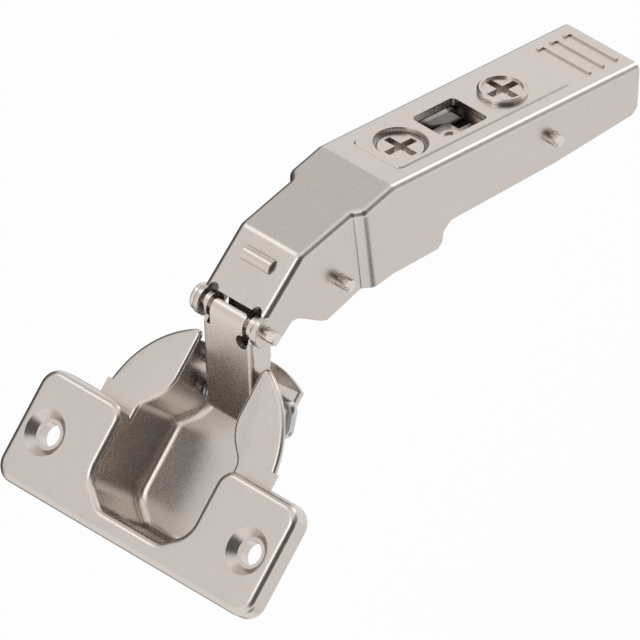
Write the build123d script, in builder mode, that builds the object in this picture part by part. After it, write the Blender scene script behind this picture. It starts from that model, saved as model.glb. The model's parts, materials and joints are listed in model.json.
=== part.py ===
from build123d import *
import os
from math import cos, hypot, pi, radians, sin, tan

os.makedirs("parts", exist_ok=True)

# A wide-angle cabinet hinge with an angled clip-on arm, in millimetres.
# X runs along the hinge pins, Y from the cup towards the arm, Z out of the cup's mouth.
# The origin is the cup's centre on the face of the door.

# Clearances
running_gap = 0.04
slide_gap = 0.25

# How near a picked edge or corner lies to the place it is picked by
pick_near = 0.1
pick_close = 0.01

# Cup and wings, one deep-drawn sheet
cup_sheet = 0.9
screw_spacing = 45.0
screw_line_y = -9.5
screw_hole_radius = 1.95
countersink_radius = 3.9
countersink_angle = 88.0
countersink_ledge_radius = 2.55
funnel_foot_radius = 3.0
wing_half_span = 28.3
wing_front_y = 0.4
wing_back_y = -19.2
wing_height = 3.6
wing_corner = 3.3
wing_edge_round = 1.3
wing_mouth_round = 3.0
disc_radius = 18.5
disc_thickness = 0.8
disc_tab_half_width = 18.75
disc_tab_front_y = 3.0
horn_round = 1.0
mouth_round = 0.7
cavity_half_width = 10.9
cavity_back_y = -15.4
cavity_back_half_width = 6.4
cavity_side_back_y = -11.9
cavity_side_front_y = 1.6
cavity_back_round = 3.0
cavity_side_round = 4.5
cavity_front_round = 2.8
cavity_overrun = 1.0
channel_start_y = 5.6
channel_round = 7.0
channel_half_width = 6.8
channel_end_y = 15.2
floor_depth = 10.3
floor_front_y = 7.4
floor_round = 2.0
cup_radius = 17.2
nose_back_y = 13.1

# Four-bar linkage: two axles in the cup, two pins in the arm, each as Y and Z
outer_axle = (8.6, -8.0)
inner_axle = (13.0, -5.7)
front_pin = (21.6, 4.35)
second_pin = (34.0, -6.5)
axle_radius = 0.9
arm_pin_radius = 1.1
slot_slack_along = 1.65
slot_slack_across = 1.15
slot_shift_back = 0.12
slot_shift_down = 0.12

# Staple that makes both cup axles
staple_bridge_x = 10.9
staple_bend = 1.0
staple_end_x = -8.3

# Outer link
link_sheet = 0.95
outer_link_half_width = 5.4
outer_curl_half_width = 4.7
tongue_half_width = 3.6
flange_start = 5.2
flange_deep_at = 11.5
flange_depth = 2.3
flange_start_depth = 0.6
slot_length = 2.4
slot_foot_radius = 1.25
slot_foot_x = 3.4
tongue_corner = 0.9
outer_curl_turn = 250.0
tongue_turn = 78.0
outer_ear_radius = 2.05
link_edge_round = 0.8

# Inner link
inner_link_half_width = 4.0
inner_eye_radius = 1.75
slot_wall = 1.0

# The inner link's edges, arched over the cup's front so that it clears the rolled eye of the outer link
inner_top_points = [(13.0, -3.95), (15.3, -2.9), (17.0, -0.6), (18.3, 0.7), (21.4, 1.4), (22.4, 1.75),
                    (23.6, 2.75), (25.0, 2.2), (27.2, -0.4), (30.5, -2.2), (33.6, -3.4)]
inner_bottom_points = [(33.6, -9.6), (30.8, -8.2), (28.5, -5.4), (24.7, -3.0), (22.8, -2.5), (19.7, -1.9),
                       (18.9, -2.3), (17.6, -4.3), (14.4, -6.8)]

# Arm, one folded sheet
arm_sheet = 1.1
near_half_width = 7.0
rear_half_width = 8.5
arm_front = (23.8, 6.372)
near_length = 11.1
near_fall = 4.2
middle_length = 19.5
middle_fall = 34.7
rear_length = 55.3
rear_fall = 52.2
first_bend_round = 2.4
second_bend_round = 1.6
fold_round = 1.35
joggle_inner_round = 0.5
joggle_outer_round = 1.8
edge_round = 1.2
ear_radius = 2.65
ear_foot = (20.0, 2.2)
ear_edge_round = 0.25
front_pin_stand_out = 2.2
second_pin_stand_out = 2.5
pin_head_radius = 2.4
pin_head_thickness = 0.9
pin_head_round = 0.3
lever_pin_stand_out = 1.8
pin_end_chamfer = 0.25

# The arm's lower edge, as points down the front and along the rear section
wall_front_points = [(20.4, 0.5), (24.9, -0.1), (25.8, -1.1), (26.9, -7.1), (27.4, -8.4), (34.0, -12.4)]
wall_rear_points = [(-9.0, 16.4), (0.8, 16.0), (1.8, 15.0), (1.8, 13.2), (3.6, 11.7)]
wall_end_points = [(-18.3, 10.7), (-8.3, 9.7), (-1.1, 9.0)]
wall_end_depth = 8.0
joggle_start = -17.8
joggle_end = -16.3
joggle_lean = 10.7

# Places along the rear section, from the side screw towards the rear end
bend_to_side_screw = 10.0
depth_screw_u = 22.8
lever_pin_u = 25.9
lever_pin_depth = 5.6

# Openings and marks in the arm's top
side_hole_radius = 4.5
depth_hole_radius = 3.6
window_start_u = 6.2
window_end_u = 15.7
window_half_width = 4.0
window_corner = 0.9
panel_start_u = -5.8
panel_to_end = 11.9
panel_half_width = 5.4
panel_corner = 1.3
panel_relief = 0.2
ridge_to_end = 1.9
ridge_pitch = 3.0
ridge_count = 3
ridge_half_length = 5.2
ridge_hook = 1.4
ridge_width = 0.6
ridge_height = 0.3
bridge_from_front = 7.3
bridge_length = 6.2
bridge_half_width = 1.3
bridge_height = 0.85
bridge_sheet = 0.45
notch_radius = 1.0
notch_at = (4.8, 23.75)
spacer_radius = 2.2

# Side screw, its bush in the arm and the washer at its foot
side_head_radius = 4.0
side_head_sink = 0.6
side_head_length = 3.2
side_neck_radius = 1.8
side_foot_radius = 3.0
collar_thickness = 0.9
washer_thickness = 0.8
tilt_play = 0.35
cross_depth = 0.9
cross_width = 1.3
cross_reach = 3.1
head_chamfer = 0.3
bush_wall = 1.5
bush_length = 1.35

# Depth screw with its scroll
depth_head_radius = 4.1
depth_head_proud = 1.0
depth_face_radius = 3.4
depth_face_sink = 0.4
scroll_radius = 7.1
scroll_thickness = 1.4
scroll_groove = 0.8
scroll_lead = 5.0
scroll_end_turn = 25.0
depth_out = 3.0
depth_in = 2.0
peg_radius = 0.5
peg_offset = 4.1
peg_gap = 0.1

# Depth slide, carrier and tilt pin inside the arm
slide_sheet = 1.0
slide_front_u = 6.4
slide_web_end_u = 20.2
slide_window_start_u = 7.4
slide_window_end_u = 17.0
slide_window_out = 5.6
slide_tongue_end_u = 13.2
slide_tongue_edge = 2.5
slide_tongue_side = 3.0
slide_window_corner = 0.6
boss_at = (10.4, -1.2)
boss_radius = 1.9
boss_height = 0.35
boss_rim = 0.5
rail_to_end = 8.3
rail_bottom = 10.0
carrier_sheet = 0.9
carrier_web_depth = 6.2
carrier_bottom = 11.0
carrier_front_u = -7.0
carrier_web_end_u = 14.5
carrier_step = 4.0
carrier_to_end = 7.3
carrier_strip_depth = 7.4
carrier_rear_bottom = 10.2
hook_u = -2.6
hook_half_width = 1.6
hook_depth = 2.6
tilt_pin_to_end = 11.3
tilt_pin_depth = 8.8
tilt_pin_radius = 1.0

# Release lever and its spring
lever_half_width = 4.6
lever_sheet = 1.0
lever_eye_radius = 2.4
lever_web_depth = 4.6
lever_web_start_u = 29.4
lever_to_end = 1.5
lever_finger_depth = 9.0
lever_claw_u = 21.4
lever_claw_depth = 12.4
lever_spring_wire = 0.6
lever_spring_turns = 4
lever_spring_leg = 6.0

# Closing springs on the outer axle
spring_wire = 0.6
spring_turns = 1.5
spring_leg = 5.0

# Directions and places that follow from the sizes above
wall_x = channel_half_width + cup_sheet
curl_radius = arm_pin_radius + running_gap
side_plane = Plane.YZ


def plane_along(start, goal):
    """A side plane whose x runs from one pivot to another."""
    return Plane(origin=(0, *start), x_dir=(0, goal[0] - start[0], goal[1] - start[1]), z_dir=(1, 0, 0))


def step_on(point, length, fall):
    """The next point along the arm, at an angle below Y."""
    return (point[0] + length * cos(radians(fall)), point[1] - length * sin(radians(fall)))


def save(piece, name):
    """Label a finished piece and write it."""
    piece.part.label = name
    export_step(piece.part, f"parts/{name}.step")


bend_one = step_on(arm_front, near_length, near_fall)
bend_two = step_on(bend_one, middle_length, middle_fall)
arm_rear = step_on(bend_two, rear_length, rear_fall)
side_screw_at = step_on(bend_two, bend_to_side_screw, rear_fall)
rear_end_u = rear_length - bend_to_side_screw
panel_end_u = rear_end_u - panel_to_end
ridge_last_u = rear_end_u - ridge_to_end
rail_end_u = rear_end_u - rail_to_end
carrier_rear_u = rear_end_u - carrier_to_end
tilt_pin_u = rear_end_u - tilt_pin_to_end
lever_end_u = rear_end_u - lever_to_end
along = (0, cos(radians(rear_fall)), -sin(radians(rear_fall)))
outward = (0, sin(radians(rear_fall)), cos(radians(rear_fall)))
outer_plane = plane_along(outer_axle, front_pin)
inner_plane = plane_along(inner_axle, second_pin)
outer_top = Plane(origin=(0, *outer_axle), x_dir=outer_plane.x_dir, z_dir=outer_plane.y_dir)
outer_length = hypot(front_pin[0] - outer_axle[0], front_pin[1] - outer_axle[1])
inner_length = hypot(second_pin[0] - inner_axle[0], second_pin[1] - inner_axle[1])

# The rear section's own planes, both with x along the arm: from the side, and flat on its top
rear_side = Plane(origin=(0, *side_screw_at), x_dir=along, z_dir=(1, 0, 0))


def rear_top(depth=0.0):
    """A plane parallel to the rear section's top face, this far below it."""
    return Plane(origin=(0, *side_screw_at), x_dir=along, z_dir=outward).offset(-depth)


def in_side(u, depth):
    """A point of the rear section, as Y and Z."""
    return (
        side_screw_at[0] + u * along[1] - depth * outward[1],
        side_screw_at[1] + u * along[2] - depth * outward[2],
    )


lever_pin = in_side(lever_pin_u, lever_pin_depth)
tilt_pin = in_side(tilt_pin_u, tilt_pin_depth)


# The hollow that the links fold into, seen from above
with BuildSketch() as cavity:
    with BuildLine():
        Polyline(
            (0, cavity_back_y),
            (cavity_back_half_width, cavity_back_y),
            (cavity_half_width, cavity_side_back_y),
            (cavity_half_width, cavity_side_front_y),
            (channel_half_width, channel_start_y),
            (channel_half_width, disc_radius + cavity_overrun),
            (0, disc_radius + cavity_overrun),
        )
        mirror(about=Plane.YZ)
    make_face()
    fillet(cavity.vertices().filter_by(lambda v: v.Y < cavity_back_y + pick_near), cavity_back_round)
    for corner_y, radius in ((cavity_side_back_y, cavity_side_round), (cavity_side_front_y, cavity_front_round)):
        fillet(cavity.vertices().filter_by(lambda v: abs(v.Y - corner_y) < pick_near), radius)
    fillet(cavity.vertices().filter_by(lambda v: abs(v.Y - channel_start_y) < pick_near), channel_round)

# The wings: a tray with a rolled edge, dished round each screw hole
wing_middle = (0, (wing_front_y + wing_back_y) / 2)
wing_depth = wing_front_y - wing_back_y
countersink_depth = (countersink_radius - countersink_ledge_radius) / tan(radians(countersink_angle / 2))
screw_places = [(-screw_spacing / 2, screw_line_y), (screw_spacing / 2, screw_line_y)]
with BuildSketch() as wing_plan:
    with Locations(wing_middle):
        RectangleRounded(2 * wing_half_span, wing_depth, wing_corner)
    add(cavity.sketch, mode=Mode.SUBTRACT)
    mouth_corners = wing_plan.vertices().filter_by(lambda v: abs(v.Y - wing_front_y) < pick_near)
    fillet(mouth_corners.filter_by(lambda v: abs(v.X) < cavity_half_width + pick_near), wing_mouth_round)

with BuildPart() as wings:
    extrude(wing_plan.sketch, amount=wing_height)
    fillet(wings.edges().group_by(Axis.Z)[-1], wing_edge_round)
    with BuildSketch():
        offset(wing_plan.sketch, -cup_sheet)
    extrude(amount=wing_height - cup_sheet, mode=Mode.SUBTRACT)
    for place in screw_places:
        with Locations(place):
            Cone(
                funnel_foot_radius,
                countersink_radius + cup_sheet / 2,
                wing_height - cup_sheet / 2,
                align=(Align.CENTER, Align.CENTER, Align.MIN),
            )
        with Locations((*place, wing_height - countersink_depth)):
            Cone(
                countersink_ledge_radius,
                countersink_radius,
                countersink_depth,
                align=(Align.CENTER, Align.CENTER, Align.MIN),
                mode=Mode.SUBTRACT,
            )
            Hole(screw_hole_radius)

# The disc that lies on the door round the bored hole, ending in two horns
with BuildPart() as disc:
    with BuildSketch():
        Circle(disc_radius)
        with Locations((0, disc_tab_front_y / 2)):
            Rectangle(2 * disc_tab_half_width, disc_tab_front_y)
        add(cavity.sketch, mode=Mode.SUBTRACT)
    extrude(amount=disc_thickness)
    horn_tips = disc.edges().filter_by(Axis.Z).group_by(Axis.Y)[-1]
    fillet(horn_tips, horn_round)
    mouth = disc.edges().group_by(Axis.Z)[-1].filter_by(
        lambda e: e.center().Y > wing_front_y and abs(e.center().X) < cavity_half_width + pick_near
    )
    mouth = mouth.filter_by(lambda e: hypot(e.center().X, e.center().Y) < channel_end_y)
    fillet(mouth, mouth_round)

# The pot below the door's face, open in front so that the links can swing out
with BuildPart() as hinge_cup:
    with BuildSketch(Plane.XY.offset(-floor_depth - cup_sheet)):
        offset(cavity.sketch, cup_sheet)
        with Locations((0, channel_end_y)):
            Rectangle(
                4 * cup_radius, 4 * cup_radius, align=(Align.CENTER, Align.MAX), mode=Mode.INTERSECT
            )
    extrude(amount=floor_depth + cup_sheet + disc_thickness / 2)
    foot_edges = hinge_cup.edges().group_by(Axis.Z)[0]
    fillet(foot_edges.filter_by(lambda e: e.center().Y < floor_front_y), floor_round)
    with BuildSketch(Plane.XY.offset(-floor_depth)):
        add(cavity.sketch)
        with Locations((0, floor_front_y)):
            Rectangle(
                4 * cup_radius, 4 * cup_radius, align=(Align.CENTER, Align.MAX), mode=Mode.INTERSECT
            )
    extrude(amount=floor_depth + wing_height, mode=Mode.SUBTRACT)
    fillet(
        hinge_cup.edges().filter_by(lambda e: abs(e.center().Z + floor_depth) < pick_close)
        .filter_by(lambda e: e.center().Y < floor_front_y - pick_near),
        floor_round - cup_sheet / 2,
    )
    with BuildSketch(Plane.XY.offset(-floor_depth - 2 * cup_sheet)):
        add(cavity.sketch)
        with Locations((0, floor_front_y)):
            Rectangle(
                4 * cup_radius, 4 * cup_radius, align=(Align.CENTER, Align.MIN), mode=Mode.INTERSECT
            )
    extrude(amount=floor_depth + 2 * cup_sheet + wing_height, mode=Mode.SUBTRACT)
    with BuildSketch(Plane.XY.offset(-floor_depth - cup_sheet)):
        Circle(cup_radius)
        with Locations((0, nose_back_y)):
            Rectangle(2 * wall_x, cup_radius, align=(Align.CENTER, Align.MIN), mode=Mode.INTERSECT)
    extrude(amount=cup_sheet)
    add(wings.part)
    add(disc.part)
    for axle in (outer_axle, inner_axle):
        with BuildSketch(side_plane):
            with Locations(axle):
                Circle(axle_radius + running_gap)
        extrude(amount=disc_radius, both=True, mode=Mode.SUBTRACT)
save(hinge_cup, "hinge_cup")


# One bent wire is both axles of the cup; its bridge lies outside the channel wall
with BuildPart() as staple:
    with BuildLine():
        FilletPolyline(
            (staple_end_x, *inner_axle),
            (staple_bridge_x, *inner_axle),
            (staple_bridge_x, *outer_axle),
            (staple_end_x, *outer_axle),
            radius=staple_bend,
        )
    with BuildSketch(Plane(origin=(staple_end_x, *inner_axle), z_dir=(1, 0, 0))):
        Circle(axle_radius)
    sweep()
save(staple, "cup_axle_staple")

# A coil spring on the outer axle at each side of the outer link, its free leg along the cup's nose
spring_radius = axle_radius + 2 * running_gap + spring_wire / 2
spring_pitch = spring_wire + running_gap
spring_start = (slide_gap / 2 + spring_wire / 2 - channel_half_width, *outer_axle)
with BuildPart() as left_spring:
    with BuildLine() as spring_path:
        coil = Helix(spring_pitch, spring_turns * spring_pitch, spring_radius, spring_start, (1, 0, 0))
        Line(coil @ 1, coil @ 1 + spring_leg * (coil % 1))
    with BuildSketch(Plane(origin=spring_path.line @ 0, z_dir=spring_path.line % 0)):
        Circle(spring_wire / 2)
    sweep()
save(left_spring, "closing_spring_left")

with BuildPart() as right_spring:
    mirror(left_spring.part, about=Plane.YZ)
save(right_spring, "closing_spring_right")

# The outer link: a channel whose floor is curled round a pin at each end
link_top = curl_radius + link_sheet
flange_inner_x = outer_link_half_width - link_sheet
with BuildPart() as outer_link:
    with BuildSketch(outer_plane):
        with BuildLine():
            Polyline(
                (flange_start, link_top),
                (flange_start, flange_start_depth),
                (flange_deep_at, -flange_depth),
                (outer_length, -outer_ear_radius),
                (outer_length, curl_radius - link_sheet),
                (outer_length - slot_length, link_top),
                close=True,
            )
        make_face()
        with Locations((outer_length, 0)):
            Circle(outer_ear_radius)
    extrude(amount=outer_link_half_width, both=True)
    rolled = outer_link.edges().filter_by(
        lambda e: abs(outer_plane.to_local_coords(e.center()).Y - link_top) < pick_close
        and abs(e.center().X) > outer_link_half_width - pick_close
    )
    fillet(rolled, link_edge_round)
    with BuildSketch(outer_plane):
        with Locations((0, curl_radius)):
            Rectangle(2 * outer_length, 4 * link_top, align=(Align.MIN, Align.MAX))
    extrude(amount=flange_inner_x, both=True, mode=Mode.SUBTRACT)
    with BuildSketch(outer_plane):
        with Locations((outer_length - slot_length, curl_radius)):
            Rectangle(2 * slot_length, 2 * link_sheet, align=(Align.MIN, Align.MIN))
    extrude(amount=flange_inner_x, both=True, mode=Mode.SUBTRACT)
    with BuildSketch(outer_plane):
        with Locations((0, curl_radius)):
            Rectangle(flange_start + link_sheet, link_sheet, align=(Align.MIN, Align.MIN))
    extrude(amount=outer_curl_half_width, both=True)
    with BuildSketch(outer_plane):
        with Locations((outer_length - slot_length - link_sheet, curl_radius)):
            Rectangle(slot_length + link_sheet, link_sheet, align=(Align.MIN, Align.MIN))
    extrude(amount=tongue_half_width, both=True)
    for centre, turn, half_width in (
        (0, outer_curl_turn, outer_curl_half_width),
        (outer_length, -tongue_turn, tongue_half_width),
    ):
        with BuildSketch(outer_plane):
            with BuildLine():
                CenterArc((centre, 0), curl_radius + link_sheet / 2, 90, turn)
            trace(line_width=link_sheet)
        extrude(amount=half_width, both=True)
    tongue_corners = outer_link.edges().filter_by(
        lambda e: abs(abs(e.center().X) - tongue_half_width) < pick_close
        and abs(e.length - link_sheet) < pick_close
        and outer_plane.to_local_coords(e.center()).X > outer_length + pick_near
    )
    fillet(tongue_corners, tongue_corner)
    with BuildSketch(outer_top):
        with Locations((outer_length - slot_length, -slot_foot_x)):
            Circle(slot_foot_radius)
    extrude(amount=2 * link_top, mode=Mode.SUBTRACT)
    with BuildSketch(outer_plane):
        with Locations((outer_length, 0)):
            Circle(curl_radius)
    extrude(amount=outer_link_half_width, both=True, mode=Mode.SUBTRACT)
save(outer_link, "outer_link")

# A plastic sleeve fills the lower curl round the thinner cup axle
with BuildPart() as axle_sleeve:
    with BuildSketch(outer_plane):
        Circle(arm_pin_radius)
        Circle(axle_radius + running_gap, mode=Mode.SUBTRACT)
    extrude(amount=outer_curl_half_width, both=True)
save(axle_sleeve, "outer_axle_sleeve")

# The inner link: two cheeks and a web, an eye on the cup axle and a slot on the arm's second pin
slot_end = slot_slack_along + arm_pin_radius
slot_at = (inner_length - slot_shift_back, -slot_shift_down)
with BuildSketch(side_plane) as inner_outline:
    with BuildLine():
        Polyline(*inner_top_points, *inner_bottom_points, close=True)
    make_face()
    with Locations(inner_axle):
        Circle(inner_eye_radius)

with BuildPart() as inner_cheeks:
    extrude(inner_outline.sketch, amount=inner_link_half_width, both=True)
    with BuildSketch(inner_plane):
        with Locations(slot_at):
            SlotOverall(2 * (slot_end + slot_wall), 2 * (slot_slack_across + arm_pin_radius + slot_wall))
    extrude(amount=inner_link_half_width, both=True)
    with BuildSketch(inner_plane):
        Rectangle(4 * inner_length, 2 * inner_length)
    extrude(amount=inner_link_half_width - link_sheet, both=True, mode=Mode.SUBTRACT)

with BuildPart() as inner_link:
    with BuildSketch(side_plane):
        with BuildLine():
            Polyline(*inner_top_points)
        trace(line_width=2 * link_sheet)
    extrude(amount=inner_link_half_width, both=True)
    extrude(inner_outline.sketch, amount=inner_link_half_width, both=True, mode=Mode.INTERSECT)
    add(inner_cheeks.part)
    with BuildSketch(inner_plane):
        Circle(axle_radius + running_gap)
        with Locations(slot_at):
            SlotOverall(2 * slot_end, 2 * (slot_slack_across + arm_pin_radius))
    extrude(amount=inner_link_half_width, both=True, mode=Mode.SUBTRACT)
save(inner_link, "inner_link")

# The arm's side outline follows its lower edge down the front and along the rear
lower_rear = [in_side(u, depth) for u, depth in wall_rear_points]
lower_end = [in_side(rear_end_u + u, depth) for u, depth in wall_end_points]
rear_corner = in_side(rear_end_u, wall_end_depth)
reach = 2 * rear_length

# The plan is seen along the joggle, where the arm steps from its narrow front to its wide rear
lean = radians(joggle_lean)
joggle_plane = Plane(
    origin=(0, *side_screw_at),
    x_dir=[cos(lean) * a + sin(lean) * n for a, n in zip(along, outward)],
    z_dir=[cos(lean) * n - sin(lean) * a for a, n in zip(along, outward)],
)


def arm_plan(inset, inner_round, outer_round):
    """Half of the arm's plan, this far inside its outer faces."""
    with BuildSketch() as plan:
        with BuildLine():
            Polyline(
                (-reach, near_half_width - inset),
                (joggle_start, near_half_width - inset),
                (joggle_end, rear_half_width - inset),
                (reach, rear_half_width - inset),
                (reach, 0),
                (-reach, 0),
                close=True,
            )
        make_face()
        fillet(plan.vertices().filter_by(lambda v: abs(v.X - joggle_start) < pick_close), inner_round)
        fillet(plan.vertices().filter_by(lambda v: abs(v.X - joggle_end) < pick_close), outer_round)
        mirror(about=Plane.XZ)
    return plan.sketch


def under(point, fall_before, fall_after):
    """The point of the sheet's inner face under a point of its top."""
    middle = radians((fall_before + fall_after) / 2)
    drop = arm_sheet / cos(radians((fall_after - fall_before) / 2))
    return (point[0] - drop * sin(middle), point[1] - drop * cos(middle))


# The space under the folded sheet, open below and at both ends
inner_front = under(arm_front, near_fall, near_fall)
inner_rear = under(arm_rear, rear_fall, rear_fall)
with BuildPart() as arm_hollow:
    with BuildSketch(side_plane):
        with BuildLine():
            Polyline(
                step_on(inner_front, -near_length, near_fall),
                under(bend_one, near_fall, middle_fall),
                under(bend_two, middle_fall, rear_fall),
                step_on(inner_rear, near_length, rear_fall),
                (arm_rear[0] + near_length, -reach),
                (arm_front[0] - near_length, -reach),
                close=True,
            )
        make_face()
    extrude(amount=rear_half_width, both=True)
    with BuildSketch(joggle_plane):
        add(arm_plan(arm_sheet, joggle_outer_round, joggle_inner_round))
    extrude(amount=reach, both=True, mode=Mode.INTERSECT)

# The two ears round the front pin
with BuildPart() as ears:
    for side in (1, -1):
        with BuildSketch(side_plane.offset(side * (near_half_width - arm_sheet))):
            with Locations(front_pin):
                Circle(ear_radius)
        extrude(amount=side * arm_sheet)
    fillet(ears.edges().filter_by(lambda e: abs(e.center().X) > near_half_width - pick_close), ear_edge_round)

# The arm: one sheet folded into a cranked channel, with its ears at the front
panel_middle_u = (panel_start_u + panel_end_u) / 2
window_middle_u = (window_start_u + window_end_u) / 2
bridge_at = step_on(arm_front, bridge_from_front, near_fall)
bridge_radius = (bridge_half_width**2 + bridge_height**2) / (2 * bridge_height)
bridge_centre = step_on(bridge_at, bridge_radius - bridge_height, 90)
with BuildPart() as arm:
    with BuildSketch(side_plane) as outline:
        with BuildLine():
            Polyline(
                arm_front,
                bend_one,
                bend_two,
                arm_rear,
                rear_corner,
                *reversed(lower_end),
                *reversed(lower_rear),
                *reversed(wall_front_points),
                ear_foot,
                (ear_foot[0], front_pin[1]),
                close=True,
            )
        make_face()
        for at_y, radius in (
            (bend_one[0], first_bend_round),
            (bend_two[0], second_bend_round),
            (wall_front_points[3][0], edge_round),
            (wall_front_points[2][0], edge_round),
            (rear_corner[0], edge_round),
            (lower_rear[2][0], edge_round),
            (lower_rear[3][0], edge_round),
        ):
            fillet(outline.vertices().filter_by(lambda v: abs(v.X - at_y) < pick_close), radius)
    extrude(amount=rear_half_width, both=True)
    with BuildSketch(joggle_plane):
        add(arm_plan(0, joggle_inner_round, joggle_outer_round))
    extrude(amount=reach, both=True, mode=Mode.INTERSECT)
    top_faces = arm.faces().filter_by(
        lambda f: f.normal_at().Z > 0.5 and f.center().Y > arm_front[0] and abs(f.center().X) < 0.5
    )
    long_edges = top_faces.edges().filter_by(
        lambda e: abs(e.center().X) > near_half_width - pick_near and e.center().Y < arm_rear[0] - 1
    )
    fillet(long_edges, fold_round)
    add(arm_hollow.part, mode=Mode.SUBTRACT)
    with BuildSketch(side_plane):
        with Locations((arm_front[0], arm_front[1] + ear_radius)):
            Rectangle(near_length, 3 * ear_radius, align=(Align.MAX, Align.MAX))
    extrude(amount=near_half_width - arm_sheet, both=True, mode=Mode.SUBTRACT)
    add(ears.part)
    with BuildSketch(Plane.XY.offset(arm_front[1] + arm_sheet)):
        with Locations(notch_at):
            Circle(notch_radius)
        mirror(about=Plane.YZ)
    extrude(amount=-3 * arm_sheet, mode=Mode.SUBTRACT)
    with BuildSketch(side_plane):
        with Locations(bridge_centre):
            Circle(bridge_radius)
        with Locations(bridge_at):
            Rectangle(4 * bridge_half_width, 4 * bridge_half_width, rotation=-near_fall,
                      align=(Align.CENTER, Align.MIN), mode=Mode.INTERSECT)
    extrude(amount=bridge_length / 2, both=True)
    with BuildSketch(side_plane):
        with Locations(bridge_centre):
            Circle(bridge_radius - bridge_sheet)
    extrude(amount=bridge_length / 2, both=True, mode=Mode.SUBTRACT)
    with BuildSketch(rear_top()):
        with Locations((panel_middle_u, 0)):
            RectangleRounded(panel_end_u - panel_start_u, 2 * panel_half_width, panel_corner)
    extrude(amount=panel_relief)
    panel_edges = arm.edges().filter_by(
        lambda e: abs(rear_top().to_local_coords(e.center()).Z - panel_relief) < pick_close
    )
    chamfer(panel_edges, panel_relief * 0.9)
    with BuildSketch(rear_top()):
        for place in range(ridge_count):
            u = ridge_last_u - place * ridge_pitch
            with BuildLine():
                Polyline((u, -ridge_half_length), (u, ridge_half_length), (u - ridge_hook, ridge_half_length))
            trace(line_width=ridge_width)
    extrude(amount=ridge_height)
    with BuildSketch(rear_top(-2 * arm_sheet)):
        Circle(side_hole_radius)
        with Locations((depth_screw_u, 0)):
            Circle(depth_hole_radius)
        with Locations((window_middle_u, 0)):
            RectangleRounded(window_end_u - window_start_u, 2 * window_half_width, window_corner)
    extrude(amount=-4 * arm_sheet, mode=Mode.SUBTRACT)
    with BuildSketch(side_plane):
        for place in (front_pin, second_pin, lever_pin):
            with Locations(place):
                Circle(arm_pin_radius + running_gap)
    extrude(amount=rear_half_width, both=True, mode=Mode.SUBTRACT)
save(arm, "arm")


def riveted_pin(name, place, wall, stand_out):
    """A pin across the arm, with a head on its left and a splined end standing out on its right."""
    with BuildPart() as pin:
        with BuildSketch(side_plane.offset(-wall)):
            with Locations(place):
                Circle(arm_pin_radius)
        extrude(amount=2 * wall + stand_out)
        chamfer(pin.edges().group_by(Axis.X)[-1], pin_end_chamfer)
        with BuildSketch(side_plane.offset(-wall - running_gap)):
            with Locations(place):
                Circle(pin_head_radius)
        extrude(amount=-pin_head_thickness)
        fillet(pin.edges().group_by(Axis.X)[0], pin_head_round)
        with BuildSketch(side_plane.offset(-wall)):
            with Locations(place):
                Circle(arm_pin_radius)
        extrude(amount=-running_gap)
    save(pin, name)


riveted_pin("front_axle_pin", front_pin, near_half_width, front_pin_stand_out)
riveted_pin("second_axle_pin", second_pin, near_half_width, second_pin_stand_out)
riveted_pin("lever_pin", lever_pin, rear_half_width, lever_pin_stand_out)

# Spacers keep the inner link in the middle of the second pin
with BuildPart() as spacers:
    for side in (1, -1):
        with BuildSketch(side_plane.offset(side * (inner_link_half_width + slide_gap))):
            with Locations(second_pin):
                Circle(spacer_radius)
                Circle(arm_pin_radius + running_gap, mode=Mode.SUBTRACT)
        extrude(amount=side * (near_half_width - arm_sheet - inner_link_half_width - slide_gap - running_gap))
save(spacers, "second_pin_spacers")


# The side screw: a threaded head, a neck through the carrier and a foot that pulls it
collar_depth = carrier_web_depth - tilt_play - collar_thickness
washer_depth = carrier_web_depth + carrier_sheet + tilt_play
foot_depth = washer_depth + washer_thickness + running_gap
with BuildPart() as side_screw:
    with BuildSketch(rear_top(side_head_sink)):
        Circle(side_head_radius)
    extrude(amount=-side_head_length)
    with BuildSketch(rear_top(side_head_sink)):
        Circle(side_neck_radius)
    extrude(amount=side_head_sink - foot_depth)
    with BuildSketch(rear_top(collar_depth)):
        Circle(side_foot_radius)
    extrude(amount=-collar_thickness)
    with BuildSketch(rear_top(foot_depth)):
        Circle(side_foot_radius)
    extrude(amount=-collar_thickness)
    with BuildSketch(rear_top(side_head_sink)):
        Rectangle(2 * cross_reach, cross_width)
        Rectangle(cross_width, 2 * cross_reach)
    extrude(amount=-cross_depth, mode=Mode.SUBTRACT)
    head_rims = side_screw.edges().filter_by(
        lambda e: abs(e.length - 2 * pi * side_head_radius) < pick_near
    )
    chamfer(head_rims, head_chamfer)
save(side_screw, "side_adjust_screw")

with BuildPart() as bush:
    with BuildSketch(rear_top(arm_sheet + running_gap)):
        Circle(side_head_radius + bush_wall)
        Circle(side_head_radius + running_gap, mode=Mode.SUBTRACT)
    extrude(amount=-bush_length)
save(bush, "side_screw_bush")

with BuildPart() as washer:
    with BuildSketch(rear_top(washer_depth)):
        Circle(side_foot_radius + slide_gap)
        Circle(side_neck_radius + running_gap, mode=Mode.SUBTRACT)
    extrude(amount=-washer_thickness)
save(washer, "side_screw_washer")

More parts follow.
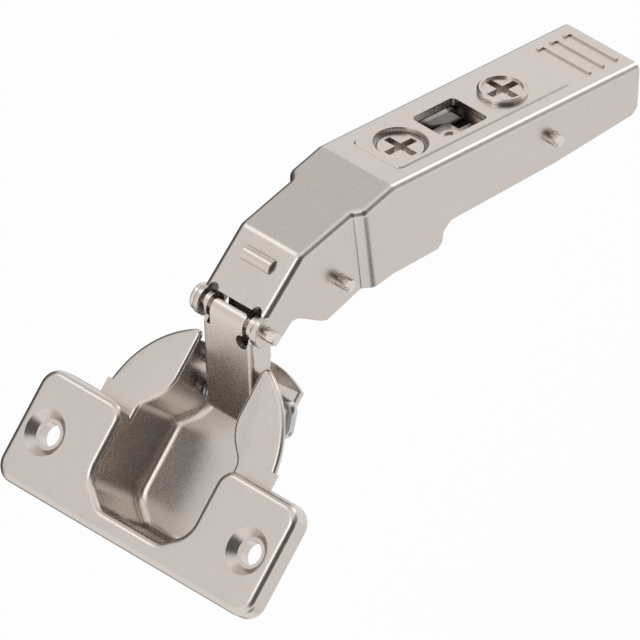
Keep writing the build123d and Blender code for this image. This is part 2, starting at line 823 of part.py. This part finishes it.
# The depth screw: a raised head above the sheet and a scroll below it
scroll_depth = arm_sheet + running_gap
scroll_foot = scroll_depth + scroll_thickness
scroll_steps = 24
first_turn = -360 * depth_in / scroll_lead - scroll_end_turn
last_turn = 360 * depth_out / scroll_lead + scroll_end_turn
scroll_points = []
for step in range(scroll_steps + 1):
    turn = first_turn + (last_turn - first_turn) * step / scroll_steps
    distance = peg_offset - scroll_lead * turn / 360
    angle = radians(180 - turn)
    scroll_points.append((depth_screw_u + distance * cos(angle), distance * sin(angle)))
with BuildPart() as depth_screw:
    with BuildSketch(rear_top(-panel_relief - running_gap)):
        with Locations((depth_screw_u, 0)):
            Circle(depth_head_radius)
    extrude(amount=depth_head_proud - panel_relief)
    head_rims = depth_screw.edges().filter_by(GeomType.CIRCLE)
    chamfer(head_rims.sort_by(lambda e: rear_top().to_local_coords(e.center()).Z)[-1], head_chamfer)
    with BuildSketch(rear_top(-depth_head_proud - running_gap)):
        with Locations((depth_screw_u, 0)):
            Circle(depth_face_radius)
    extrude(amount=-depth_face_sink, mode=Mode.SUBTRACT)
    with BuildSketch(rear_top(-panel_relief - running_gap)):
        with Locations((depth_screw_u, 0)):
            Circle(depth_hole_radius - running_gap)
    extrude(amount=-panel_relief - 2 * running_gap - arm_sheet)
    with BuildSketch(rear_top(scroll_depth)):
        with Locations((depth_screw_u, 0)):
            Circle(scroll_radius)
    extrude(amount=-scroll_thickness)
    with BuildSketch(rear_top(scroll_foot)):
        with BuildLine():
            Spline(*scroll_points)
        trace(line_width=2 * (peg_radius + peg_gap))
    extrude(amount=scroll_groove, mode=Mode.SUBTRACT)
    with BuildSketch(rear_top(depth_face_sink - depth_head_proud - running_gap)):
        with Locations((depth_screw_u, 0)):
            Rectangle(2 * cross_reach, cross_width)
            Rectangle(cross_width, 2 * cross_reach)
    extrude(amount=-cross_depth, mode=Mode.SUBTRACT)
save(depth_screw, "depth_adjust_screw")

# The depth slide: a web with a peg in the scroll, and two rails guided by the lever pin
rail_outer_x = rear_half_width - arm_sheet - slide_gap
slide_top = scroll_foot + slide_gap
with BuildPart() as slide:
    with BuildSketch(rear_side):
        with Locations((slide_front_u, -slide_top)):
            Rectangle(rail_end_u - slide_front_u, rail_bottom - slide_top, align=(Align.MIN, Align.MAX))
    extrude(amount=rail_outer_x, both=True)
    with BuildSketch(rear_side):
        with Locations((slide_front_u, -slide_top - slide_sheet)):
            Rectangle(rail_end_u - slide_front_u, rail_bottom, align=(Align.MIN, Align.MAX))
    extrude(amount=rail_outer_x - slide_sheet, both=True, mode=Mode.SUBTRACT)
    with BuildSketch(rear_top(slide_top)):
        with Locations((slide_web_end_u, 0)):
            Rectangle(rail_end_u, 2 * (rail_outer_x - slide_sheet), align=(Align.MIN, Align.CENTER))
        with BuildLine():
            Polyline(
                (slide_window_start_u, slide_window_out),
                (slide_window_end_u, slide_window_out),
                (slide_window_end_u, -slide_tongue_side),
                (slide_tongue_end_u, -slide_tongue_side),
                (slide_tongue_end_u, slide_tongue_edge),
                (slide_window_start_u, slide_tongue_edge),
                close=True,
            )
        make_face()
    extrude(amount=-slide_sheet, mode=Mode.SUBTRACT)
    window_corners = slide.edges().filter_by(
        lambda e: abs(e.length - slide_sheet) < pick_close
        and slide_window_start_u - pick_near < rear_top().to_local_coords(e.center()).X < slide_window_end_u + pick_near
    )
    fillet(window_corners, slide_window_corner)
    with BuildSketch(rear_top(slide_top)):
        with Locations(boss_at):
            Circle(boss_radius)
            Circle(boss_radius - boss_rim, mode=Mode.SUBTRACT)
    extrude(amount=boss_height)
    with BuildSketch(rear_side):
        with Locations((lever_pin_u + (depth_in - depth_out) / 2, -lever_pin_depth)):
            SlotOverall(
                depth_out + depth_in + 2 * arm_pin_radius + 2 * slide_gap, 2 * (arm_pin_radius + running_gap)
            )
        with Locations((tilt_pin_u, -tilt_pin_depth)):
            Circle(tilt_pin_radius + running_gap)
    extrude(amount=rail_outer_x, both=True, mode=Mode.SUBTRACT)
    with BuildSketch(rear_top(slide_top)):
        with Locations((depth_screw_u - peg_offset, 0)):
            Circle(peg_radius)
    extrude(amount=slide_gap + scroll_groove - peg_gap)
save(slide, "depth_slide")

with BuildPart() as tilt_rod:
    with BuildSketch(rear_side):
        with Locations((tilt_pin_u, -tilt_pin_depth)):
            Circle(tilt_pin_radius)
    extrude(amount=rail_outer_x, both=True)
save(tilt_rod, "tilt_pin")

# The carrier: a channel hung on the tilt pin, which hooks onto the mounting plate
carrier_outer_x = rail_outer_x - slide_sheet - slide_gap
carrier_inner_x = carrier_outer_x - carrier_sheet
neck_slot_radius = side_neck_radius + 2 * slide_gap
with BuildPart() as carrier:
    with BuildSketch(rear_side):
        with BuildLine():
            Polyline(
                (carrier_front_u, -carrier_web_depth),
                (carrier_web_end_u, -carrier_web_depth),
                (carrier_web_end_u + carrier_step, -carrier_strip_depth),
                (carrier_rear_u, -carrier_strip_depth),
                (carrier_rear_u, -carrier_rear_bottom),
                (carrier_web_end_u + carrier_step, -carrier_rear_bottom),
                (carrier_web_end_u, -carrier_bottom),
                (carrier_front_u, -carrier_bottom),
                close=True,
            )
        make_face()
    extrude(amount=carrier_outer_x, both=True)
    with BuildSketch(rear_side):
        with Locations((carrier_front_u, -carrier_web_depth - carrier_sheet)):
            Rectangle(2 * carrier_rear_u, carrier_bottom, align=(Align.MIN, Align.MAX))
        with Locations((carrier_web_end_u, -carrier_web_depth)):
            Rectangle(2 * carrier_rear_u, carrier_bottom, align=(Align.MIN, Align.MAX))
    extrude(amount=carrier_inner_x, both=True, mode=Mode.SUBTRACT)
    with BuildSketch(rear_top(carrier_web_depth)):
        with Locations(((depth_in - depth_out) / 2, 0)):
            SlotOverall(depth_out + depth_in + 2 * neck_slot_radius, 2 * neck_slot_radius)
    extrude(amount=-carrier_sheet, mode=Mode.SUBTRACT)
    with BuildSketch(rear_side):
        with Locations((hook_u, -carrier_bottom)):
            SlotOverall(2 * hook_depth, 2 * hook_half_width, rotation=90)
        with Locations((tilt_pin_u, -tilt_pin_depth)):
            Circle(tilt_pin_radius + running_gap)
    extrude(amount=carrier_outer_x, both=True, mode=Mode.SUBTRACT)
save(carrier, "carrier")

# The release lever: turns on the lever pin, with a claw for the mounting plate and a finger plate
with BuildPart() as lever:
    with BuildSketch(rear_side):
        with BuildLine():
            Polyline(
                (lever_pin_u - lever_eye_radius, -lever_pin_depth),
                (lever_pin_u, -lever_pin_depth + lever_eye_radius),
                (lever_end_u, -lever_web_depth),
                (lever_end_u, -lever_finger_depth),
                (lever_end_u - lever_sheet, -lever_finger_depth),
                (lever_end_u - 3 * lever_sheet, -lever_web_depth - lever_sheet),
                (lever_pin_u + lever_eye_radius, -lever_pin_depth - lever_eye_radius / 2),
                (lever_claw_u + 2 * lever_sheet, -lever_claw_depth),
                (lever_claw_u, -lever_claw_depth),
                (lever_claw_u - lever_sheet, -lever_claw_depth + lever_sheet),
                (lever_claw_u, -lever_claw_depth + 2 * lever_sheet),
                close=True,
            )
        make_face()
        with Locations((lever_pin_u, -lever_pin_depth)):
            Circle(lever_eye_radius)
    extrude(amount=lever_half_width, both=True)
    with BuildSketch(rear_side):
        with Locations((lever_claw_u - 2 * lever_sheet, 0)):
            Rectangle(lever_web_start_u - lever_claw_u + 2 * lever_sheet, 2 * lever_claw_depth,
                      align=(Align.MIN, Align.CENTER))
        with Locations((lever_claw_u, -lever_web_depth - lever_sheet)):
            Rectangle(
                lever_end_u - lever_claw_u - lever_sheet, lever_claw_depth, align=(Align.MIN, Align.MAX)
            )
    extrude(amount=lever_half_width - lever_sheet, both=True, mode=Mode.SUBTRACT)
    with BuildSketch(rear_side):
        with Locations((lever_web_start_u, -lever_web_depth)):
            Rectangle(2 * lever_end_u, lever_claw_depth, align=(Align.MIN, Align.MIN))
    extrude(amount=lever_half_width - lever_sheet, both=True, mode=Mode.SUBTRACT)
    with BuildSketch(rear_side):
        with Locations((lever_pin_u, -lever_pin_depth)):
            Circle(arm_pin_radius + running_gap)
    extrude(amount=lever_half_width, both=True, mode=Mode.SUBTRACT)
save(lever, "release_lever")

# The lever's torsion spring, coiled on the lever pin between the lever's cheeks
lever_coil_radius = arm_pin_radius + 2 * running_gap + lever_spring_wire / 2
lever_coil_pitch = lever_spring_wire + running_gap
lever_coil_turns = lever_spring_turns + 0.5 + rear_fall / 360
lever_coil_length = lever_coil_turns * lever_coil_pitch
lever_coil_start = (lever_coil_length / 2, *lever_pin)
with BuildPart() as lever_spring:
    with BuildLine() as spring_path:
        coil = Helix(lever_coil_pitch, lever_coil_length, lever_coil_radius, lever_coil_start, (-1, 0, 0))
        Line(coil @ 1, coil @ 1 + lever_spring_leg * (coil % 1))
    with BuildSketch(Plane(origin=spring_path.line @ 0, z_dir=spring_path.line % 0)):
        Circle(lever_spring_wire / 2)
    sweep()
save(lever_spring, "lever_spring")
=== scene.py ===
import bpy
import bmesh
import json
from math import atan, cos, pi, radians, sin, tan
from mathutils import Matrix, Vector


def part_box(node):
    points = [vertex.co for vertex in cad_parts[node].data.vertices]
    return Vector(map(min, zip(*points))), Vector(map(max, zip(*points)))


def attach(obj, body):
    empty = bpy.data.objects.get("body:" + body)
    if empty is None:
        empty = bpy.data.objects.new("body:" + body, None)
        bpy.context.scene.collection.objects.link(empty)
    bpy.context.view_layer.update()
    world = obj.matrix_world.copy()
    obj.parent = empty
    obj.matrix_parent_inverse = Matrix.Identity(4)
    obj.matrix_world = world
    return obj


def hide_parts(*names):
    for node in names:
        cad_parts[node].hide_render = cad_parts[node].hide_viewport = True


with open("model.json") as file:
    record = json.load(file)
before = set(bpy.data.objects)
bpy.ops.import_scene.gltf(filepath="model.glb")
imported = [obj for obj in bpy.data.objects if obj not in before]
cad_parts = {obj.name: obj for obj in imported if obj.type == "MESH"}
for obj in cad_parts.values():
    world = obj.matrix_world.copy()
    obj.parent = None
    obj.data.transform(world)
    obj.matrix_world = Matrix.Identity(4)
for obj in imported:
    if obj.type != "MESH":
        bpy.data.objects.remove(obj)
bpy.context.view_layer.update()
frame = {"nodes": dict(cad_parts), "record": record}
nodes = frame["nodes"]
record = frame["record"]
slot_of = {part["node"]: part["material_slot"] for part in record["subparts"]}
body_of = {node: body for body, names in record["behaviour"]["bodies"].items() for node in names}
joint_of = {joint["name"]: joint for joint in record["behaviour"]["joints"]}
MM = 0.001
white = (1, 1, 1, 1)

# The sandy grain: scale, detail and roughness of each noise, and the share that it has
fine_grain = (3200.0, 3.0, 0.7)
coarse_grain = (900.0, 3.0, 0.6)
clouding = (90.0, 2.0, 0.5)
fine_share = 0.6
coarse_share = 0.4
noise_middle = 0.5
roughness_share = 0.8
grain_height = 0.02 * MM

# Each slot's finish: name, tone, roughness, speckle, cloud, bump and, where it isn't metal, a metallic share
slot_looks = {
    "nickel_sheet": ("satin nickel of the cup", (0.66, 0.60, 0.555), 0.26, 0.26, 0.08, 0.4),
    "nickel_arm": ("satin nickel of the arm", (0.66, 0.60, 0.555), 0.27, 0.26, 0.06, 0.4),
    "nickel_link": ("satin nickel of the links", (0.68, 0.62, 0.57), 0.27, 0.28, 0.08, 0.4),
    "steel_wire": ("drawn wire", (0.62, 0.62, 0.63), 0.25, 0.10, 0.05, 0.2),
    "pin_steel": ("splined pins", (0.76, 0.70, 0.65), 0.24, 0.15, 0.05, 0.2),
    "inner_steel": ("inner sheet", (0.55, 0.53, 0.52), 0.35, 0.2, 0.08, 0.3),
    "spring_steel": ("spring wire", (0.42, 0.42, 0.43), 0.3, 0.1, 0.05, 0.2),
    "sleeve_plastic": ("dark plastic", (0.05, 0.05, 0.05), 0.5, 0.1, 0.05, 0.2, 0.0),
}
# The carrier's sheet is darker than the other inner sheet: painted shade, so that it reads dark inside the
# arm
carrier_shade_look = ("carrier sheet in painted shade", (0.38, 0.36, 0.35), 0.35, 0.2, 0.08, 0.3)

# Screws and slide: their tones, and their roughness, speckle, cloud and bump
screw_tone = (0.66, 0.60, 0.555)
slide_tone = (0.72, 0.66, 0.61)
sunk_metal = (0.27, 0.22, 0.05, 0.3)

# Painted shade: each one darkens below this height on its joint's axis
side_screw_face = -0.65 * MM
depth_screw_face = 0.6 * MM
slide_web_face = -3.3 * MM

# How the painted shade darkens: the depth to its full tone, how far from the axis it reaches, and the dark
# tone
# Painted shade in the cross recesses of both screws
recess_painted_shade = (0.35 * MM, 3.35 * MM, (0.50, 0.45, 0.41))
# Painted shade inside the depth slide, below its web
slide_painted_shade = (0.5 * MM, 60 * MM, (0.24, 0.225, 0.21))

# Sheet parts whose cut edges are rounded, and the width of the round
edge_rounds = {"hinge_cup": 0.12 * MM, "arm": 0.12 * MM, "outer_link": 0.1 * MM}
edge_round_segments = 2
crease_angle = radians(32)
merge_distance = 0.001 * MM
flat_angle = radians(0.6)

# Riveted pins: a flat head on the left, and a splined end of ridges and flutes on the right
splined_pins = ("front_axle_pin", "second_axle_pin", "lever_pin")
pin_radius = 1.1 * MM
pin_head_thickness = 0.9 * MM
pin_head_round = 0.3 * MM
pin_head_steps = 4
pin_end_round = 0.3 * MM
pin_end_step = pin_end_round / 3
spline_length = 1.7 * MM
spline_runout = 0.25 * MM
flute_depth = 0.09 * MM
flutes = 8
steps_per_flute = 6
steps_on_ridge = 4

floor_half = 3.0
floor_height = -0.15
floor_whiteness = 0.93
floor_tone = (0.9, 0.9, 0.9, 1)
floor_roughness = 0.9

# Soft dark flags for the metal: direction, angles where one is full and where it ends, and light left in it
flags = [
    ((0.80, 0.06, 0.60), 24, 44, 0.10),
    ((0.68, 0.68, 0.10), 12, 30, 0.35),
    ((-0.97, -0.05, 0.0), 26, 46, 0.10),
    ((-0.80, -0.25, -0.55), 18, 40, 0.12),
    ((-0.50, 0.75, 0.43), 12, 34, 0.72),
    ((0.66, -0.60, -0.45), 10, 24, 0.20),
    ((0.577, -0.05, -0.815), 20, 36, 0.90),
    ((-0.577, -0.05, 0.815), 12, 26, 0.88),
]

# Camera at the photograph's angle, with a long lens; it aims at a point given in mm along its own directions
aim_right = 21.082
aim_up = 19.363
aim_back = -14.0
view_right = Vector((0.7071, 0.4676, -0.5304)).normalized()
view_back = Vector((0.5774, 0.0513, 0.8150))
view_back = (view_back - view_back.dot(view_right) * view_right).normalized()
view_up = view_back.cross(view_right)
aim = (view_right * aim_right + view_up * aim_up + view_back * aim_back) * MM
frame_width = 100.91 * MM
lens = 1200.0
sensor = 36.0
nearest_seen = 0.1
farthest_seen = 100.0

# Soft square lamps: name, place from the point that the camera aims at, size and power
lamps = [
    ("overhead", (0.15, 0.05, 1.0), 0.35, 0.6),
    ("bend strip", (-0.577, 0.42, 0.70), 0.32, 0.3),
    ("rear strip", (0.05, 1.0, 0.0), 0.35, 0.6),
]


def new_group(name, inputs, outputs):
    """A shader node group with named sockets, each given as (name, type)."""
    group = bpy.data.node_groups.new(name, "ShaderNodeTree")
    for label, kind in inputs:
        group.interface.new_socket(label, in_out="INPUT", socket_type=kind)
    for label, kind in outputs:
        group.interface.new_socket(label, in_out="OUTPUT", socket_type=kind)
    return group, group.nodes.new("NodeGroupInput").outputs, group.nodes.new("NodeGroupOutput").inputs


def feed(tree, socket, value):
    """Give a socket its value, which is another socket, a number or a vector."""
    if isinstance(value, bpy.types.NodeSocket):
        tree.links.new(value, socket)
    else:
        socket.default_value = value


def math_node(tree, operation, first, second, clamp=False):
    """A Math node on sockets or numbers."""
    node = tree.nodes.new("ShaderNodeMath")
    node.operation = operation
    node.use_clamp = clamp
    feed(tree, node.inputs[0], first)
    feed(tree, node.inputs[1], second)
    return node.outputs[0]


def vector_node(tree, operation, first, second=None, output="Vector"):
    """A Vector Math node on one or two sockets or vectors."""
    node = tree.nodes.new("ShaderNodeVectorMath")
    node.operation = operation
    feed(tree, node.inputs[0], first)
    if second is not None:
        feed(tree, node.inputs[1], second)
    return node.outputs[output]


def noise_node(tree, vector, scale, detail, roughness):
    """A noise on this vector."""
    node = tree.nodes.new("ShaderNodeTexNoise")
    node.inputs["Scale"].default_value = scale
    node.inputs["Detail"].default_value = detail
    node.inputs["Roughness"].default_value = roughness
    tree.links.new(vector, node.inputs["Vector"])
    return node.outputs["Fac"]


def sandy_grain():
    """The grain of plated sheet: speckle and clouds in its tone and roughness, and the grain's height."""
    group, given, result = new_group(
        "sandy plating grain",
        [("Tone", "NodeSocketColor"), ("Speckle", "NodeSocketFloat"),
         ("Roughness", "NodeSocketFloat"), ("Cloud", "NodeSocketFloat")],
        [("Color", "NodeSocketColor"), ("Roughness", "NodeSocketFloat"), ("Height", "NodeSocketFloat")],
    )
    where = group.nodes.new("ShaderNodeTexCoord").outputs["Object"]
    fine = noise_node(group, where, *fine_grain)
    coarse = noise_node(group, where, *coarse_grain)
    cloud = noise_node(group, where, *clouding)
    speck = math_node(group, "ADD", math_node(group, "MULTIPLY", fine, fine_share),
                      math_node(group, "MULTIPLY", coarse, coarse_share))
    shift = math_node(group, "MULTIPLY", math_node(group, "SUBTRACT", speck, noise_middle), given["Speckle"])
    drift = math_node(group, "MULTIPLY", math_node(group, "SUBTRACT", cloud, noise_middle), given["Cloud"])
    level = math_node(group, "ADD", math_node(group, "ADD", shift, drift), 1.0)
    tone = group.nodes.new("ShaderNodeVectorMath")
    tone.operation = "SCALE"
    group.links.new(given["Tone"], tone.inputs[0])
    group.links.new(level, tone.inputs["Scale"])
    rough_shift = math_node(group, "MULTIPLY", shift, roughness_share)
    group.links.new(tone.outputs[0], result["Color"])
    group.links.new(math_node(group, "ADD", given["Roughness"], rough_shift, clamp=True), result["Roughness"])
    group.links.new(speck, result["Height"])
    return group


def sunk_mask():
    """A mask for painted shade, which rises below a face across an axis, as far from the axis as its reach.
    """
    group, given, result = new_group(
        "shade below a face",
        [("Centre", "NodeSocketVector"), ("Axis", "NodeSocketVector"),
         ("Face", "NodeSocketFloat"), ("Depth", "NodeSocketFloat"), ("Reach", "NodeSocketFloat")],
        [("Mask", "NodeSocketFloat")],
    )
    where = group.nodes.new("ShaderNodeTexCoord").outputs["Object"]
    from_centre = vector_node(group, "SUBTRACT", where, given["Centre"])
    height = vector_node(group, "DOT_PRODUCT", from_centre, given["Axis"], "Value")
    across = vector_node(group, "CROSS_PRODUCT", from_centre, given["Axis"])
    off_axis = vector_node(group, "LENGTH", across, output="Value")
    below = math_node(group, "SUBTRACT", given["Face"], height)
    sunk = math_node(group, "DIVIDE", below, given["Depth"], clamp=True)
    inside = math_node(group, "LESS_THAN", off_axis, given["Reach"])
    group.links.new(math_node(group, "MULTIPLY", sunk, inside), result["Mask"])
    return group


def grained_finish(name, tone, roughness, speckle, cloud, bump, metallic=1.0):
    """A finish with the sandy grain."""
    material = bpy.data.materials.new(name)
    material.use_nodes = True
    tree = material.node_tree
    shader = tree.nodes["Principled BSDF"]
    shader.inputs["Metallic"].default_value = metallic
    grain = tree.nodes.new("ShaderNodeGroup")
    grain.node_tree = grain_group
    grain.inputs["Tone"].default_value = (*tone, 1)
    grain.inputs["Roughness"].default_value = roughness
    grain.inputs["Speckle"].default_value = speckle
    grain.inputs["Cloud"].default_value = cloud
    relief = tree.nodes.new("ShaderNodeBump")
    relief.inputs["Strength"].default_value = bump
    relief.inputs["Distance"].default_value = grain_height
    tree.links.new(grain.outputs["Color"], shader.inputs["Base Color"])
    tree.links.new(grain.outputs["Roughness"], shader.inputs["Roughness"])
    tree.links.new(grain.outputs["Height"], relief.inputs["Height"])
    tree.links.new(relief.outputs["Normal"], shader.inputs["Normal"])
    return material


def painted_shade_finish(name, joint_name, tone, face, depth, reach, dark):
    """A finish with painted shade below a height on a joint's axis, in the screws' recesses and inside the
    slide.
    """
    material = grained_finish(name, tone, *sunk_metal)
    tree = material.node_tree
    shader = tree.nodes["Principled BSDF"]
    sunk = tree.nodes.new("ShaderNodeGroup")
    sunk.node_tree = sunk_group
    sunk.inputs["Centre"].default_value = joint_of[joint_name]["pos_m"]
    sunk.inputs["Axis"].default_value = joint_of[joint_name]["axis"]
    sunk.inputs["Face"].default_value = face
    sunk.inputs["Depth"].default_value = depth
    sunk.inputs["Reach"].default_value = reach
    shade = tree.nodes.new("ShaderNodeMix")
    shade.data_type = "RGBA"
    tree.links.new(sunk.outputs["Mask"], shade.inputs["Factor"])
    tree.links.new(shader.inputs["Base Color"].links[0].from_socket, shade.inputs["A"])
    shade.inputs["B"].default_value = (*dark, 1)
    tree.links.new(shade.outputs["Result"], shader.inputs["Base Color"])
    return material


def look_of(node):
    """A node's own finish, or else that of its slot."""
    return own_looks[node] if node in own_looks else slot_finishes[slot_of[node]]


def in_scene(item):
    """The object, linked into the scene."""
    bpy.context.scene.collection.objects.link(item)
    return item


def mesh_object(mesh, name):
    """An object made of a bmesh, which is freed."""
    data = bpy.data.meshes.new(name)
    mesh.to_mesh(data)
    mesh.free()
    return in_scene(bpy.data.objects.new(name, data))


def finished_piece(mesh, name, node):
    """A new piece that stands for a CAD node, with its body and its finish."""
    piece = mesh_object(mesh, name)
    piece.data.materials.append(look_of(node))
    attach(piece, body_of[node])
    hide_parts(node)
    return piece


def mark_smooth(mesh):
    """Smooth faces, with every edge sharper than the crease angle kept as a crease."""
    for face in mesh.faces:
        face.smooth = True
    for edge in mesh.edges:
        edge.smooth = edge.is_manifold and edge.calc_face_angle(0.0) < crease_angle


def softened(node, width):
    """A copy of a sheet part whose cut edges carry a small round."""
    mesh = bmesh.new()
    mesh.from_mesh(nodes[node].data)
    bmesh.ops.remove_doubles(mesh, verts=mesh.verts, dist=merge_distance)
    bmesh.ops.dissolve_limit(mesh, angle_limit=flat_angle, verts=mesh.verts, edges=mesh.edges)
    mark_smooth(mesh)
    piece = finished_piece(mesh, node + "_rounded", node)
    edge_round = piece.modifiers.new("edge round", "BEVEL")
    edge_round.width = width
    edge_round.segments = edge_round_segments
    edge_round.limit_method = "ANGLE"
    edge_round.angle_limit = crease_angle
    edge_round.harden_normals = True


def ring(mesh, x, centre, radius, pull=0.0):
    """A ring of edges round a pin's axis, pulled in at its flutes."""
    verts = bmesh.ops.create_circle(mesh, segments=steps_per_flute * flutes, radius=radius)["verts"]
    for place, vert in enumerate(verts):
        if pull and place % steps_per_flute >= steps_on_ridge:
            vert.co *= (radius - pull) / radius
    turn = Matrix.Rotation(pi / 2, 4, "Y")
    bmesh.ops.transform(mesh, matrix=Matrix.Translation((x, *centre)) @ turn, verts=verts)
    return [edge for edge in mesh.edges if edge.verts[0] in verts and edge.verts[1] in verts]


def splined_pin(node):
    """A pin with a flat round head on its left and a splined end on its right."""
    low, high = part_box(node)
    centre = ((low[1] + high[1]) / 2, (low[2] + high[2]) / 2)
    head_radius = (high[1] - low[1]) / 2
    head_end = low[0] + pin_head_thickness
    spline_start = high[0] - spline_length
    mesh = bmesh.new()
    rings = []
    for step in range(pin_head_steps + 1):
        angle = pi / 2 * step / pin_head_steps
        rings.append(ring(mesh, low[0] + pin_head_round * (1 - sin(angle)), centre,
                          head_radius - pin_head_round * (1 - cos(angle))))
    rings.reverse()
    for x, radius, pull in (
        (head_end, head_radius, 0.0),
        (head_end, pin_radius, 0.0),
        (spline_start, pin_radius, 0.0),
        (spline_start + spline_runout, pin_radius, flute_depth),
        (high[0] - pin_end_round, pin_radius, flute_depth),
        (high[0] - pin_end_step, pin_radius - pin_end_step, flute_depth / 2),
        (high[0], pin_radius - pin_end_round, 0.0),
    ):
        rings.append(ring(mesh, x, centre, radius, pull))
    for first, second in zip(rings, rings[1:]):
        bmesh.ops.bridge_loops(mesh, edges=first + second)
    for end in (rings[0], rings[-1]):
        bmesh.ops.contextual_create(mesh, geom=end)
    bmesh.ops.recalc_face_normals(mesh, faces=mesh.faces)
    mark_smooth(mesh)
    finished_piece(mesh, node + "_splined", node)


def seen_rays(tree):
    """One for the rays that show the background: to the camera, and off metal or through glass."""
    path = tree.nodes.new("ShaderNodeLightPath")
    reflected = math_node(tree, "ADD", path.outputs["Is Glossy Ray"], path.outputs["Is Transmission Ray"])
    return math_node(tree, "ADD", reflected, path.outputs["Is Camera Ray"], clamp=True)


def mixed(tree, share, plain, shown):
    """The output of a mix of two shaders."""
    mix = tree.nodes.new("ShaderNodeMixShader")
    tree.links.new(share, mix.inputs["Fac"])
    tree.links.new(plain, mix.inputs[1])
    tree.links.new(shown, mix.inputs[2])
    return mix.outputs["Shader"]


def pale_floor():
    """A floor that is nearly white to the camera and keeps a faint shadow."""
    mesh = bmesh.new()
    bmesh.ops.create_grid(mesh, x_segments=1, y_segments=1, size=floor_half)
    bmesh.ops.translate(mesh, verts=mesh.verts, vec=(0, 0, floor_height))
    item = mesh_object(mesh, "floor")
    look = bpy.data.materials.new("pale floor")
    look.use_nodes = True
    tree = look.node_tree
    shader = tree.nodes["Principled BSDF"]
    shader.inputs["Base Color"].default_value = floor_tone
    shader.inputs["Roughness"].default_value = floor_roughness
    shader.inputs["Specular IOR Level"].default_value = 0.0
    glow = tree.nodes.new("ShaderNodeEmission")
    glow.inputs["Color"].default_value = white
    share = math_node(tree, "MULTIPLY", seen_rays(tree), floor_whiteness)
    surface = mixed(tree, share, shader.outputs["BSDF"], glow.outputs["Emission"])
    tree.links.new(surface, tree.nodes["Material Output"].inputs["Surface"])
    item.data.materials.append(look)
    item.visible_glossy = False
    return item


def studio_world():
    """A white studio with soft dark flags for the metal, and plain white to the camera."""
    world = bpy.data.worlds.new("studio")
    bpy.context.scene.world = world
    world.use_nodes = True
    sky = world.node_tree
    toward = sky.nodes.new("ShaderNodeTexCoord").outputs["Generated"]
    light = 1.0
    for direction, full_angle, end_angle, left in flags:
        shade = sky.nodes.new("ShaderNodeMapRange")
        shade.interpolation_type = "SMOOTHSTEP"
        shade.inputs["From Min"].default_value = cos(radians(end_angle))
        shade.inputs["From Max"].default_value = cos(radians(full_angle))
        shade.inputs["To Min"].default_value = 1.0
        shade.inputs["To Max"].default_value = left
        aimed = vector_node(sky, "DOT_PRODUCT", toward, Vector(direction).normalized(), "Value")
        sky.links.new(aimed, shade.inputs["Value"])
        light = math_node(sky, "MULTIPLY", shade.outputs["Result"], light)
    studio = sky.nodes["Background"]
    studio.inputs["Color"].default_value = white
    sky.links.new(light, studio.inputs["Strength"])
    plain = sky.nodes.new("ShaderNodeBackground")
    plain.inputs["Color"].default_value = white
    to_camera = sky.nodes.new("ShaderNodeLightPath").outputs["Is Camera Ray"]
    surface = mixed(sky, to_camera, studio.outputs["Background"], plain.outputs["Background"])
    sky.links.new(surface, sky.nodes["World Output"].inputs["Surface"])


def long_camera():
    """The camera, as far away as its lens needs to fit the frame's width."""
    data = bpy.data.cameras.new("camera")
    data.lens = lens
    data.sensor_width = sensor
    data.clip_start = nearest_seen
    data.clip_end = farthest_seen
    camera = in_scene(bpy.data.objects.new("camera", data))
    distance = frame_width / 2 / tan(atan(sensor / 2 / lens))
    turn = Matrix((view_right, view_up, view_back)).transposed().to_4x4()
    camera.matrix_world = Matrix.Translation(aim + view_back * distance) @ turn
    bpy.context.scene.camera = camera


def soft_lamp(name, offset, size, power):
    """A square lamp aimed at the object."""
    data = bpy.data.lights.new(name, "AREA")
    data.shape = "SQUARE"
    data.size = size
    data.energy = power
    item = in_scene(bpy.data.objects.new(name, data))
    place = aim + Vector(offset)
    turn = (place - aim).to_track_quat("Z", "Y").to_matrix().to_4x4()
    item.matrix_world = Matrix.Translation(place) @ turn


grain_group = sandy_grain()
sunk_group = sunk_mask()
slot_finishes = {slot: grained_finish(*look) for slot, look in slot_looks.items()}
# The screws' cross recesses get painted shade below their faces
own_looks = {
    "side_adjust_screw": painted_shade_finish("side screw", "side_screw_turn", screw_tone, side_screw_face,
                                     *recess_painted_shade),
    "depth_adjust_screw": painted_shade_finish("depth screw", "depth_screw_turn", screw_tone, depth_screw_face,
                                      *recess_painted_shade),
    # The inside of the depth slide gets painted shade below its web
    "depth_slide": painted_shade_finish("depth slide", "side_screw_turn", slide_tone, slide_web_face, *slide_painted_shade),
    # The carrier gets a darker tone as painted shade
    "carrier": grained_finish(*carrier_shade_look),
}
for name, node in nodes.items():
    node.data.materials.clear()
    node.data.materials.append(look_of(name))

for node, width in edge_rounds.items():
    softened(node, width)
for node in splined_pins:
    splined_pin(node)

floor = pale_floor()
studio_world()
long_camera()
for name, offset, size, power in lamps:
    soft_lamp(name, offset, size, power)

bpy.context.scene.view_settings.view_transform = "Standard"
